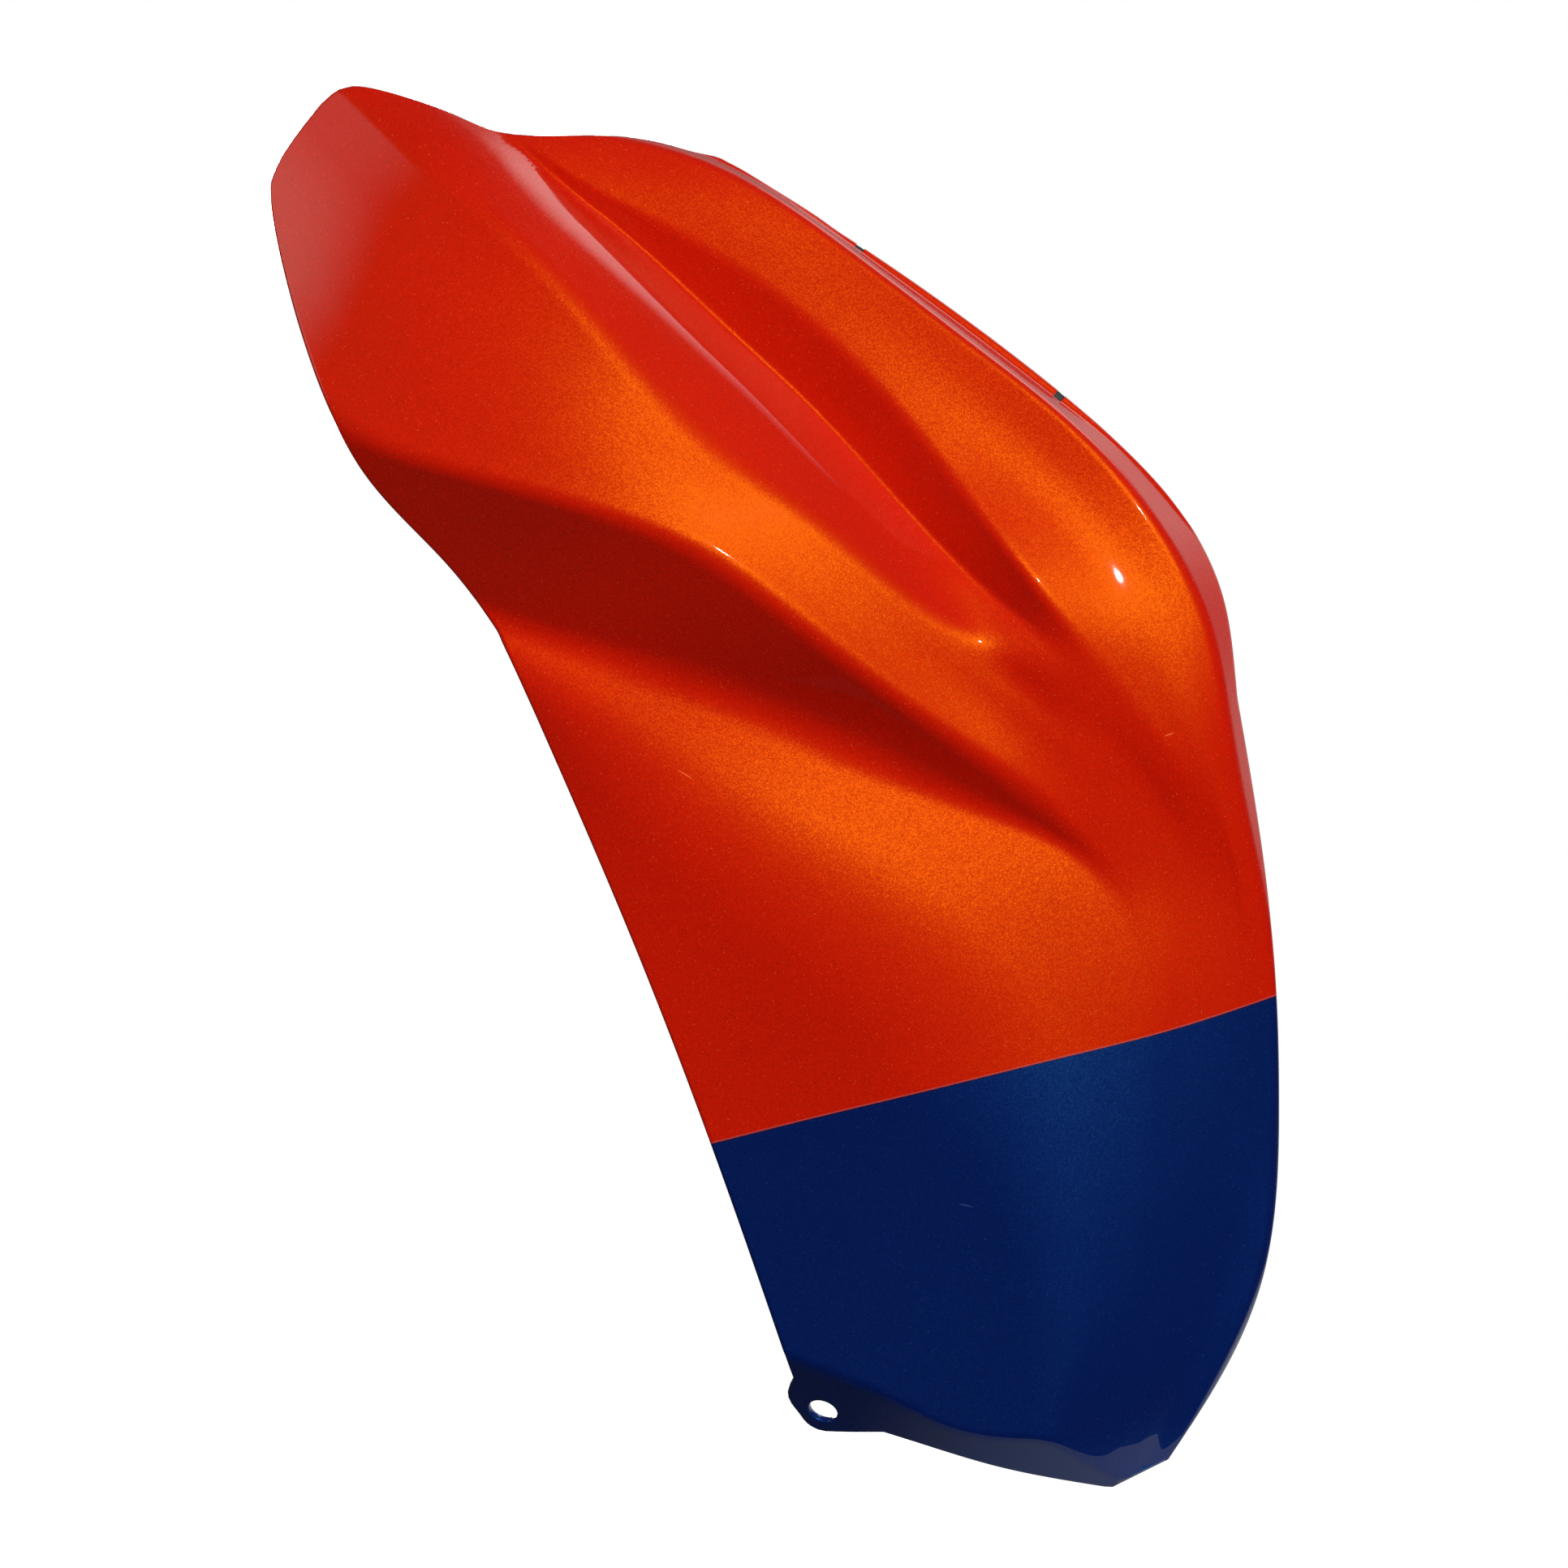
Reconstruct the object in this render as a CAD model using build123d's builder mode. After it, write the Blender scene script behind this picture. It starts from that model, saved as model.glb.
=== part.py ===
"""A motorbike side fairing: one injection-moulded panel, formed as a cavity less a core.

The outer skin runs through thirteen style lines.  Each line is a list of points
(station, across, out) in millimetres on the skin plane: the station runs down the
panel's length, across runs from its open side to its joint flange, and out is the
height towards the viewer.  A section is drawn through the lines at every station,
its corners are eased, and a loft through the sections makes the block that the
cavity and the core are cut from.  Where a line has left the panel's outline it only
steadies the loft.
"""
import os

from build123d import *

# Driving dimensions, mm and degrees
wall = 2.5
lean = 30.0
reach_behind = 110.0
bore_diameter = 10.0
hem_slope = 1.11
hem_fall = -0.42
peg_diameter = 8.0
peg_length = 13.0
peg_chamfer = 1.0
rib_span = 18.0
rib_thickness = 2.0
notch_width = 3.2
notch_depth = 3.0

# Where the pegs stand and the notches are cut: X, Z, then a peg's free end or a notch's turn
pegs = [(-113, 345, 26), (86, 134, 7)]
notches = [(12.6, 393.2, -33), (79.6, 342.6, -38)]

# The stations at which a section is drawn
stations = [72, 100, 126, 155, 190, 225, 262, 300, 340, 380, 410, 435, 465, 500, 535, 565, 590, 612, 632]

# Style lines, from the open side to the joint flange
open_side = [(60, -66, -70), (100, -64, -46), (187, -58, -6), (230, -40, 6), (286, 0, 12), (354, -5, 16),
             (400, -10, 17), (470, -20, 15), (533, -32, 10), (640, -60, -5)]
belly = [(60, -50, -60), (100, -48, -38), (187, -40, 3), (230, -6, 20), (286, 40, 33), (354, 65, 44.5),
         (400, 85, 46), (450, 103, 43.5), (500, 108, 38.5), (550, 96, 30), (600, 60, 18.5), (640, 15, 6)]
undercut = [(60, -35, -54), (100, -34, -32), (187, -22, 7), (230, 12, 22), (265, 42, 29),
            (316, 87, 34.5), (348, 114, 36.5), (372, 131, 37), (407, 156, 37.8), (430, 170, 38.3),
            (460, 174, 37), (500, 158, 33), (550, 128, 25), (600, 80, 14.5), (640, 28, 2)]
brow = [(60, 12, -12), (100, 14, 11), (145, 20, 38), (187, 31, 56.5), (214, 53, 66), (243, 81, 72),
        (280, 111, 72.5), (306, 123.5, 70.5), (334, 134.5, 65.5), (375, 152.5, 55.5), (397, 162, 49.5),
        (421, 172, 43), (435, 177, 40), (460, 182, 36.8), (500, 167, 31.3), (550, 138, 22.8),
        (600, 90, 12.4), (640, 37, 0.2)]
cheek = [(60, 46, -1), (100, 53, 24), (145, 63, 48), (187, 74, 62), (214, 88, 68.2), (243, 106, 71),
         (280, 128, 69), (334, 150, 60.2), (375, 167, 51.2), (397, 176, 47.8), (421, 184, 43.5),
         (460, 188.5, 36.3), (500, 172, 30.2), (550, 143.5, 21.5), (600, 95.5, 11.4), (640, 42, -1)]
ridge = [(60, 81, 5), (84, 88, 20.5), (126, 100, 45), (159, 111, 56.5), (190, 118, 62), (248, 132, 65),
         (281, 147, 63.7), (333, 167, 56.6), (368, 181.5, 51.2), (390, 189, 49), (417, 196, 44.8),
         (460, 195, 36), (500, 177, 29.3), (550, 149, 20.2), (600, 101, 10.2), (640, 47, -2.3)]
flank = [(60, 93, 0), (84, 99.5, 15), (121, 113, 35.5), (147, 122, 43.5), (171, 131, 48.5),
         (220, 144, 53.8), (254, 153, 55), (300, 166, 53.6), (345, 180.5, 55.2), (368, 190, 53),
         (390, 196, 50.3), (417, 202.5, 45.4), (460, 200.5, 35.8), (500, 181.5, 28.6),
         (550, 153.5, 19.1), (600, 105.5, 9.2), (640, 51, -3.2)]
channel = [(60, 103, -10), (84, 109, 4.5), (121, 124, 22.5), (147, 133, 30.4), (171, 142, 34.8),
           (220, 157.5, 39.2), (254, 168, 41.6), (300, 178.5, 46.8), (345, 191, 55.6), (368, 199, 53.7),
           (390, 204, 51.1), (417, 208.5, 46), (460, 206, 35.8), (500, 186, 27.8), (550, 158, 18),
           (600, 110, 8.2), (640, 55, -4)]
shoulder = [(60, 108, -11), (84, 113, 3), (121, 127, 22.8), (147, 137, 31), (174, 153, 35.8),
            (200, 169, 38.8), (229, 182, 42.2), (260, 191, 46), (302, 198, 53), (340, 202.5, 57.8),
            (368, 207, 57.8), (390, 211, 56.2), (412, 214, 52.4), (460, 213, 36.3), (500, 194, 26.5),
            (550, 166, 16.2), (600, 119, 6), (640, 62, -6)]
wing = [(60, 111, -12), (84, 116.5, 2), (124, 132, 23), (150, 151, 29.6), (174, 169, 34),
        (217, 192, 39.8), (269, 211, 46.2), (311, 223, 51.2), (352, 230, 54.9), (388, 231, 54.8),
        (416, 227.5, 50.6), (447, 220, 41.2), (500, 201, 25.3), (550, 173, 14.6), (579, 150, 9.3),
        (609, 116, 2.9), (640, 66, -7)]
rim = [(60, 114, -13), (84, 120, 1), (124, 136, 21.3), (150, 164, 26.6), (172, 183.5, 31),
       (217, 206.5, 38.2), (269, 228, 44.8), (294, 238, 47.6), (322, 246, 49.4), (352, 250, 49.3),
       (388, 247, 48.2), (416, 238, 45.8), (447, 227, 38.8), (500, 208, 24), (550, 180, 13),
       (579, 160, 8), (609, 123, 2), (640, 70, -8)]
wall_foot = [(60, 120, -21), (84, 126, -7), (124, 142, 13.3), (150, 168, 18.6), (172, 185.6, 24),
             (217, 208.4, 31), (269, 231, 35.5), (294, 241.3, 37), (322, 252, 37), (352, 258.3, 33.8),
             (388, 261, 28.5), (416, 250, 27), (447, 237, 23), (500, 217, 12), (550, 188, 1),
             (579, 168, -4), (609, 131, -10), (640, 78, -20)]
ledge = [(station, across + 8, out - 2.5) for station, across, out in wall_foot]

style_lines = [open_side, belly, undercut, brow, cheek, ridge, flank, channel, shoulder, wing, rim,
               wall_foot, ledge]

# How far each inner line's corner is eased along the section, mm: on the skin, and on the core where the
# skin's easing would leave too little wall
skin_ease = [20, 9, 6, 0, 5, 0, 0, 6, 0, 3, 0]
core_ease = [20, 0, 6, 0, 0, 0, 0, 0, 0, 0, 0]

# The skin plane: its X runs across, its Y outwards and its Z down the length
skin = Plane(
    origin=(-278, 0, 476),
    x_dir=Vector(1, 0, 0).rotate(Axis.Y, -lean),
    z_dir=Vector(0, 0, -1).rotate(Axis.Y, -lean),
)

# The tab plane: the middle of the hem's wall around the bore, facing out of the bore
tab = Plane(origin=(0, 0, 0), x_dir=(1, 0, hem_fall), z_dir=(hem_slope * hem_fall, -1, -hem_slope))


def style_edge(points):
    """A smooth edge through a style line's points."""
    with BuildLine() as line:
        Spline(*[skin.from_local_coords(Vector(across, out, station)) for station, across, out in points])
    return line.edge()


edges = [style_edge(points) for points in style_lines]


def crossing(edge, station):
    """Where a style edge crosses a station's plane, in that plane's own coordinates."""
    plane = skin.offset(station)
    point = edge.intersect(plane).vertices()[0]
    local = plane.to_local_coords(Vector(point.X, point.Y, point.Z))
    return Vector(local.X, local.Y)


def inset(points, distance):
    """The section's polyline moved back by a distance, mitred at its corners."""
    normals = []
    for start, end in zip(points, points[1:]):
        along = (end - start).normalized()
        normals.append(Vector(-along.Y, along.X))
    moved = [points[0] - normals[0] * distance]
    for point, before, after in zip(points[1:], normals, normals[1:]):
        bisector = before + after
        moved.append(point - bisector * (2 * distance / bisector.dot(bisector)))
    moved.append(points[-1] - normals[-1] * distance)
    return moved


def section(station, distance, ease):
    """One section: the eased polyline through the style lines, closed behind the panel."""
    corners = inset([crossing(edge, station) for edge in edges], distance)
    first = corners[0]
    last = corners[-1]
    with BuildSketch(skin.offset(station)) as sketch:
        with BuildLine():
            at = first
            for before, corner, after, longest in zip(corners, corners[1:], corners[2:], ease):
                reach = min(longest, 0.45 * (corner - before).length, 0.45 * (after - corner).length)
                start = corner + (before - corner).normalized() * reach
                end = corner + (after - corner).normalized() * reach
                Line(at, start)
                if longest > 0:
                    Bezier(start, corner, end)
                at = end
            Polyline(at, last, (last.X, -reach_behind), (first.X, -reach_behind), first)
        make_face()
    return sketch.sketch


def block(distance, ease):
    """The lofted block, its skin moved back by a distance."""
    with BuildPart() as solid:
        for station in stations:
            add(section(station, distance, ease))
        loft()
    return solid.part


def hem_block(distance):
    """All that lies above and behind the hem, a face drawn down and back from its fold."""
    plane = Plane(origin=tab.z_dir * -distance, x_dir=(1, 0, 0), z_dir=(0, -1, 0))
    tab_end = (14, 14 * hem_fall)
    left = (-400, -400 * hem_fall)
    right = (400, 40)
    with BuildPart() as solid:
        with BuildSketch(plane):
            with BuildLine():
                Line(left, tab_end)
                Spline(tab_end, (45, -18.5), (70, -24), (98, -26), (130, -23), right,
                       tangents=[(1, hem_fall), (1, 0.25)])
                Polyline(right, (400, 700), (-400, 700), left)
            make_face()
        extrude(amount=180, dir=(0, -1, 1 / hem_slope), both=True)
    return solid.part


# The core fills the hollow behind the wall, less the pegs and their crossed ribs
with BuildPart() as core:
    add(block(wall, core_ease))
    add(hem_block(wall / 2), mode=Mode.INTERSECT)
    for x, z, tip in pegs:
        with BuildSketch(Plane.XZ.offset(tip)):
            with Locations((x, z)):
                Circle(peg_diameter / 2)
        extrude(amount=peg_length, mode=Mode.SUBTRACT)
        with BuildSketch(Plane.XZ.offset(tip + peg_length)):
            with Locations((x, z)):
                Rectangle(rib_span, rib_thickness)
                Rectangle(rib_thickness, rib_span)
        extrude(amount=60, mode=Mode.SUBTRACT)

with BuildPart() as fairing_panel:
    add(block(0, skin_ease))
    add(hem_block(-wall / 2), mode=Mode.INTERSECT)
    add(core.part, mode=Mode.SUBTRACT)

    # The outline seen from the front trims the moulding
    with BuildSketch(Plane.XZ):
        with BuildLine():
            Spline((-187.4, 414.6), (-184.4, 422), (-180, 429), (-173.4, 437.8), (-167.4, 444.4),
                   (-162, 447.4), (-155.5, 447.6), (-145.5, 445.4), (-124, 437.8), (-111, 432.5),
                   (-100, 431), (-72.6, 431), (-56, 428.8), (-42, 424.7))
            Line((-42, 424.7), (-35, 423.6))
            Spline((-35, 423.6), (11.8, 394), (58.4, 361), (86, 339), (109.3, 317.3), (126.3, 295.3),
                   (135.6, 273.4), (139, 251.5), (140, 240.5))
            Spline((140, 240.5), (149, 185.8), (153.4, 142), (154.5, 103.6), (152.8, 64), (149, 44),
                   (128.2, -0.5), (117, -17.5))
            Polyline((117, -17.5), (99.5, -26.9), (95, -26.8))
            Spline((95, -26.8), (58, -19.7), (30.7, -11.5), (20, -8.2))
            Spline((20, -8.2), (0, -8.2), (-8.5, -3.3), (-12.6, 5), (-10.5, 10))
            Spline((-10.5, 10), (-29.6, 65.2), (-62.7, 153), (-100.3, 240.5), (-110, 262.5))
            Spline((-110, 262.5), (-126.8, 284.4), (-147.7, 306.3), (-156.4, 317.3), (-167.7, 339.2),
                   (-182.2, 383), (-186.6, 403.5), (-187.4, 411.5), (-187.4, 414.6))
        make_face()
    extrude(amount=150, both=True, mode=Mode.INTERSECT)

    # The tab's bore, and the notches in the joint flange's ledge
    with BuildSketch(tab):
        Circle(bore_diameter / 2)
    extrude(amount=10, both=True, mode=Mode.SUBTRACT)
    with BuildSketch(Plane.XZ):
        for x, z, turn in notches:
            with Locations(Location((x, z), turn)):
                Rectangle(notch_width, notch_depth)
    extrude(amount=150, both=True, mode=Mode.SUBTRACT)

    # The pegs' free ends lead into their grommets
    for x, z, tip in pegs:
        circles = fairing_panel.edges().filter_by(GeomType.CIRCLE)
        chamfer(circles.filter_by_position(Axis.Y, -tip - 0.1, -tip + 0.1), peg_chamfer)

fairing_panel.part.label = "fairing_panel"
os.makedirs("parts", exist_ok=True)
export_step(fairing_panel.part, "parts/fairing_panel.step")
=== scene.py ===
# %% [markdown]
# # A motorbike side fairing
# The object is one moulded panel in two metallic colours: orange above a slanting paint
# line and dark blue below it.  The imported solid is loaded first, because it fixes the
# frame, the size and the place of everything else.  The visible skin is then made anew:
# a painted panel lives by its reflections, and the solid's facets are too coarse for them.

# %% Load the solid
import math

import bmesh
import bpy
import numpy as np
from mathutils import Matrix, Vector, kdtree


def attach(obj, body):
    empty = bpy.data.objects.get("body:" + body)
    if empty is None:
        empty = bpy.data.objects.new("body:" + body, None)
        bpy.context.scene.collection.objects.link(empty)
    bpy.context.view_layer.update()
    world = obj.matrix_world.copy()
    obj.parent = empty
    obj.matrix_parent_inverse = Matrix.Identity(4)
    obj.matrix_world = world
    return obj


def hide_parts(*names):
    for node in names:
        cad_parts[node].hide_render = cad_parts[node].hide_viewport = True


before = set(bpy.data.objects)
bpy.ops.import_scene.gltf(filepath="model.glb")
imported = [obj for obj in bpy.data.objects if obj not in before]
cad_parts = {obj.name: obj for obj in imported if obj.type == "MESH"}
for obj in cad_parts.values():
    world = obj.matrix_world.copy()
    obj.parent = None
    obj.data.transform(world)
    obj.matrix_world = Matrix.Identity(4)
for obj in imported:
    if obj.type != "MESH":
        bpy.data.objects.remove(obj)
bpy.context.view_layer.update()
MM = 0.001

# %% [markdown]
# ## Style lines
# A designer draws such a panel with style lines: the curves along which its faces meet.
# Each is a list of points (station, across, out) in millimetres.  The station runs down
# the panel, across runs towards the joint flange, and out is the height towards the
# viewer.  Seen from the front they are the lines that the solid is lofted through.  Their
# heights follow the way the real panel shines more closely, above all in the channel,
# which is deeper here than in the solid.  Sculpting by hand could give the same shape,
# but a few lines keep every face fair and easy to correct.

# %% Style lines
open_side = [(60, -66, -70), (100, -64, -46), (187, -58, -6), (230, -40, 6), (286, 0, 12), (354, -5, 16),
             (400, -10, 17), (470, -20, 15), (533, -32, 10), (640, -60, -5)]
belly = [(60, -50, -60), (100, -48, -38), (187, -40, 3), (230, -6, 20), (286, 40, 33), (354, 65, 44.5),
         (400, 85, 46), (450, 103, 43.5), (500, 108, 38.5), (550, 96, 30), (600, 60, 18.5), (640, 15, 6)]
undercut = [(60, -35, -54), (100, -34, -32), (187, -22, 7), (230, 12, 22), (265, 42, 29),
            (316, 87, 34.5), (348, 114, 36.5), (372, 131, 37), (407, 156, 37.8), (430, 170, 38.3),
            (460, 174, 37), (500, 158, 33), (550, 128, 25), (600, 80, 14.5), (640, 28, 2)]
brow = [(60, 12, -12), (100, 14, 11), (145, 20, 38), (187, 31, 56.5), (214, 53, 66), (243, 81, 72.2),
        (280, 111, 72.6), (306, 123.5, 70.2), (334, 134.5, 65.5), (375, 152.5, 55.5), (397, 162, 49.5),
        (421, 172, 43), (435, 177, 40), (460, 182, 36.8), (500, 167, 31.3), (550, 138, 22.8),
        (600, 90, 12.4), (640, 37, 0.2)]
cheek = [(60, 46, -1), (100, 53, 24), (145, 63, 48), (187, 74, 62), (214, 88, 68.2), (243, 106, 70.5),
         (280, 128, 68.2), (334, 150, 60.2), (375, 167, 51.2), (397, 176, 47.8), (421, 184, 43.5),
         (460, 188.5, 36.3), (500, 172, 30.2), (550, 143.5, 21.5), (600, 95.5, 11.4), (640, 42, -1)]
ridge = [(60, 81, 5), (84, 88, 20.5), (126, 100, 45), (159, 111, 56.5), (190, 118, 62), (248, 132, 65),
         (281, 147, 63.7), (333, 167, 57), (368, 181.5, 51.6), (390, 189, 49.8), (417, 196, 45.3),
         (460, 195, 36), (500, 177, 29.3), (550, 149, 20.2), (600, 101, 10.2), (640, 47, -2.3)]
flank = [(60, 93, 0), (84, 99.5, 15), (121, 113, 35.5), (147, 122, 42.5), (171, 131, 46.5),
         (220, 144, 51), (254, 153, 52.5), (300, 166, 52), (345, 180.5, 50.4), (368, 190, 54),
         (390, 196, 51), (417, 202.5, 46), (460, 200.5, 35.8), (500, 181.5, 28.6), (550, 153.5, 19.1),
         (600, 105.5, 9.2), (640, 51, -3.2)]
channel = [(60, 103, -10), (84, 109, 4.5), (121, 124, 22.5), (147, 133, 28), (171, 142, 29.5),
           (220, 157.5, 32.5), (254, 168, 34), (300, 178.5, 39.5), (345, 191, 48.3), (368, 199, 55),
           (390, 204, 52.4), (417, 208.5, 48), (460, 206, 35.8), (500, 186, 27.8), (550, 158, 18),
           (600, 110, 8.2), (640, 55, -4)]
shoulder = [(60, 108, -11), (84, 113, 3), (121, 127, 22.8), (147, 137, 31), (174, 153, 34.5),
            (200, 169, 37.6), (229, 182, 41.4), (260, 191, 45.9), (302, 198, 52.3), (340, 202.5, 59.2),
            (368, 207, 57.3), (390, 211, 53.3), (412, 214, 50.3), (460, 213, 36.3), (500, 194, 26.5),
            (550, 166, 16.2), (600, 119, 6), (640, 62, -6)]
wing = [(60, 111, -12), (84, 116.5, 2), (124, 132, 23), (150, 151, 29.6), (174, 169, 34),
        (217, 192, 39), (269, 211, 44.6), (311, 223, 48), (352, 230, 51.6), (388, 231, 52.2),
        (416, 227.5, 49.3), (447, 220, 41.2), (500, 201, 25.3), (550, 173, 14.6), (579, 150, 9.3),
        (609, 116, 2.9), (640, 66, -7)]
rim = [(60, 114, -13), (84, 120, 1), (124, 136, 21.3), (150, 164, 26.6), (172, 183.5, 31),
       (217, 206.5, 38.2), (269, 228, 44.8), (294, 238, 47.2), (322, 246, 49.2), (352, 250, 50),
       (388, 247, 48.9), (416, 238, 45.8), (447, 227, 38.8), (500, 208, 24), (550, 180, 13),
       (579, 160, 8), (609, 123, 2), (640, 70, -8)]
wall_foot = [(60, 120, -21), (84, 126, -7), (124, 142, 13.3), (150, 168, 18.6), (172, 185.6, 24),
             (217, 208.4, 31), (269, 231, 35.5), (294, 241.3, 37), (322, 252, 37), (352, 258.3, 33.8),
             (388, 261, 28.5), (416, 250, 27), (447, 237, 23), (500, 217, 12), (550, 188, 1),
             (579, 168, -4), (609, 131, -10), (640, 78, -20)]
ledge_width, ledge_fall = 8, 2.5
ledge = [(station, across + ledge_width, out - ledge_fall) for station, across, out in wall_foot]
style_lines = [open_side, belly, undercut, brow, cheek, ridge, flank, channel, shoulder, wing, rim,
               wall_foot, ledge]
print(len(style_lines), "style lines,", sum(len(line) for line in style_lines), "points")

# %% [markdown]
# ## Fair curves
# A draughtsman bends a thin batten round a row of weights to draw a fair curve.  A natural
# cubic spline does the same in numbers: between its points it bends no more than it must.
# A curve object could be used too, but here every point of the curve is needed as a
# number, so the spline is solved directly.

# %% Fair curves
def batten(points, count, start_slope=None, end_slope=None):
    """A cubic spline through points, sampled count times along its length."""
    points = np.asarray(points, float)
    u = np.r_[0, np.cumsum(np.linalg.norm(np.diff(points, axis=0), axis=1))]
    gap = np.diff(u)
    slope = np.diff(points, axis=0) / gap[:, None]
    size = len(points)
    matrix = np.eye(size)
    right = np.zeros_like(points)
    for i in range(1, size - 1):
        matrix[i, i - 1:i + 2] = gap[i - 1], 2 * (gap[i - 1] + gap[i]), gap[i]
        right[i] = 6 * (slope[i] - slope[i - 1])
    if start_slope is not None:
        matrix[0, :2] = 2 * gap[0], gap[0]
        right[0] = 6 * (slope[0] - np.asarray(start_slope, float))
    if end_slope is not None:
        matrix[-1, -2:] = gap[-1], 2 * gap[-1]
        right[-1] = 6 * (np.asarray(end_slope, float) - slope[-1])
    bend = np.linalg.solve(matrix, right)
    at = np.linspace(0, u[-1], count)
    i = np.clip(np.searchsorted(u, at) - 1, 0, size - 2)
    done, left, width = (at - u[i])[:, None], (u[i + 1] - at)[:, None], gap[i][:, None]
    curved = (bend[i] * left**3 + bend[i + 1] * done**3) / (6 * width)
    start = (points[i] / width - bend[i] * width / 6) * left
    end = (points[i + 1] / width - bend[i + 1] * width / 6) * done
    return curved + start + end


line_count = 6000
drawn = [batten(points, line_count) for points in style_lines]
print("the brow line is", round(np.linalg.norm(np.diff(drawn[3], axis=0), axis=1).sum()), "mm long")

# %% [markdown]
# ## Skin between the lines
# At any station the skin is a row of straight runs from line to line, like the strokes of
# a section drawing, and each corner is then eased.  A quadratic curve does the easing: it
# leaves one run and joins the next without a kink.  The amount is chosen line by line,
# because the brow of the real panel is a tight fold while its cheek is a broad swell.

# %% Skin between the lines
# How far each line's corner is eased, from the belly to the wall's foot, mm, and the most
# of a run that one easing may take
ease = [30, 14, 6, 40, 5, 20, 2, 3, 40, 3, 1]
ease_share = 0.45


def skin_out(station, across):
    """The skin's height at each (station, across)."""
    t = np.stack([np.interp(station, line[:, 0], line[:, 1]) for line in drawn], -1)
    h = np.stack([np.interp(station, line[:, 0], line[:, 2]) for line in drawn], -1)
    run, rise = np.diff(t, axis=-1), np.diff(h, axis=-1)
    length = np.hypot(run, rise)
    out = np.full(across.shape, np.nan)
    for i in range(t.shape[-1] - 1):
        inside = (across >= t[..., i]) & (across <= t[..., i + 1])
        share = (across - t[..., i]) / run[..., i]
        out = np.where(inside, h[..., i] + share * rise[..., i], out)
    for i, longest in enumerate(ease, start=1):
        reach = np.minimum(longest, ease_share * np.minimum(length[..., i - 1], length[..., i]))
        back, on = reach / length[..., i - 1], reach / length[..., i]
        t0, h0 = t[..., i] - back * run[..., i - 1], h[..., i] - back * rise[..., i - 1]
        t2, h2 = t[..., i] + on * run[..., i], h[..., i] + on * rise[..., i]
        a, b, c = t0 - 2 * t[..., i] + t2, 2 * (t[..., i] - t0), t0 - across
        u = -2 * c / (b + np.sqrt(np.maximum(b * b - 4 * a * c, 0)))
        eased = (1 - u)**2 * h0 + 2 * u * (1 - u) * h[..., i] + u * u * h2
        out = np.where((across > t0) & (across < t2), eased, out)
    return out


print("height of the brow at station 280:", skin_out(np.array([280.0]), np.array([112.0])).round(1), "mm")

# %% [markdown]
# ## Hem
# Along its lower edge the panel folds down and back into a hem, and the hem carries the
# fixing tab.  The hem is a second height field, and the lower of the two fields is the
# panel.  A small blend where they cross makes the rounded fold of a moulding, which a
# plain minimum would leave as a knife edge.

# %% Hem
wall = 2.5
hem_slope = 1.11
hem_fall = -0.42
hem_round = 1.5
tab_normal = np.array([hem_slope * hem_fall, -1, -hem_slope])
tab_normal /= np.linalg.norm(tab_normal)
hem_end_slope = 0.25
tab_end = 14
hem_count = 4000
hem_curve = batten([(tab_end, tab_end * hem_fall), (45, -20.5), (70, -25), (98, -25), (130, -22), (400, 40)],
                   hem_count,
                   np.array([1, hem_fall]) / math.hypot(1, hem_fall),
                   np.array([1, hem_end_slope]) / math.hypot(1, hem_end_slope))


def hem_out(x, z):
    """The hem's outer face, as a height over the picture plane."""
    shift = tab_normal * wall / 2
    x, z = x - shift[0], z - shift[2]
    fold = np.where(x < hem_curve[0, 0], x * hem_fall, np.interp(x, hem_curve[:, 0], hem_curve[:, 1]))
    return hem_slope * (z - fold) - shift[1]


print("the tab faces", tab_normal.round(2))

# %% [markdown]
# ## Skin plane and picture plane
# The style lines lie on a skin plane that leans by 30 degrees in the picture plane, so
# that stations run along the panel's length.  Two small functions turn one pair of
# measures into the other, and a third joins skin and hem into the whole outer face.

# %% Skin plane and picture plane
lean = math.radians(30)
skin_origin = np.array([-278.0, 476.0])


def to_plan(station, across):
    """Picture-plane X and Z of a point on the skin plane."""
    x = skin_origin[0] + across * math.cos(lean) + station * math.sin(lean)
    z = skin_origin[1] + across * math.sin(lean) - station * math.cos(lean)
    return x, z


def to_skin(x, z):
    """Station and across of a picture-plane point."""
    x, z = x - skin_origin[0], z - skin_origin[1]
    return x * math.sin(lean) - z * math.cos(lean), x * math.cos(lean) + z * math.sin(lean)


def panel_out(station, across):
    """The whole outer face: the skin, blended round the fold into the hem."""
    skin_height = skin_out(station, across)
    hem_height = hem_out(*to_plan(station, across))
    blend = np.clip(1 - np.abs(skin_height - hem_height) / hem_round, 0, 1)
    return np.minimum(skin_height, hem_height) - blend**2 * hem_round / 4


print("the bore's centre is at station and across", np.round(to_skin(0, 0), 1))

# %% [markdown]
# ## Outline
# Seen from the front the moulding is trimmed to an outline of smooth edges and a few true
# corners.  Each edge is its own batten, so the corners stay sharp.  The points are then
# spread evenly, and a second outline inside it leaves room to round the edge over.  Where
# the skin is steep, the same rounding takes less room as seen from the front.

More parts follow.
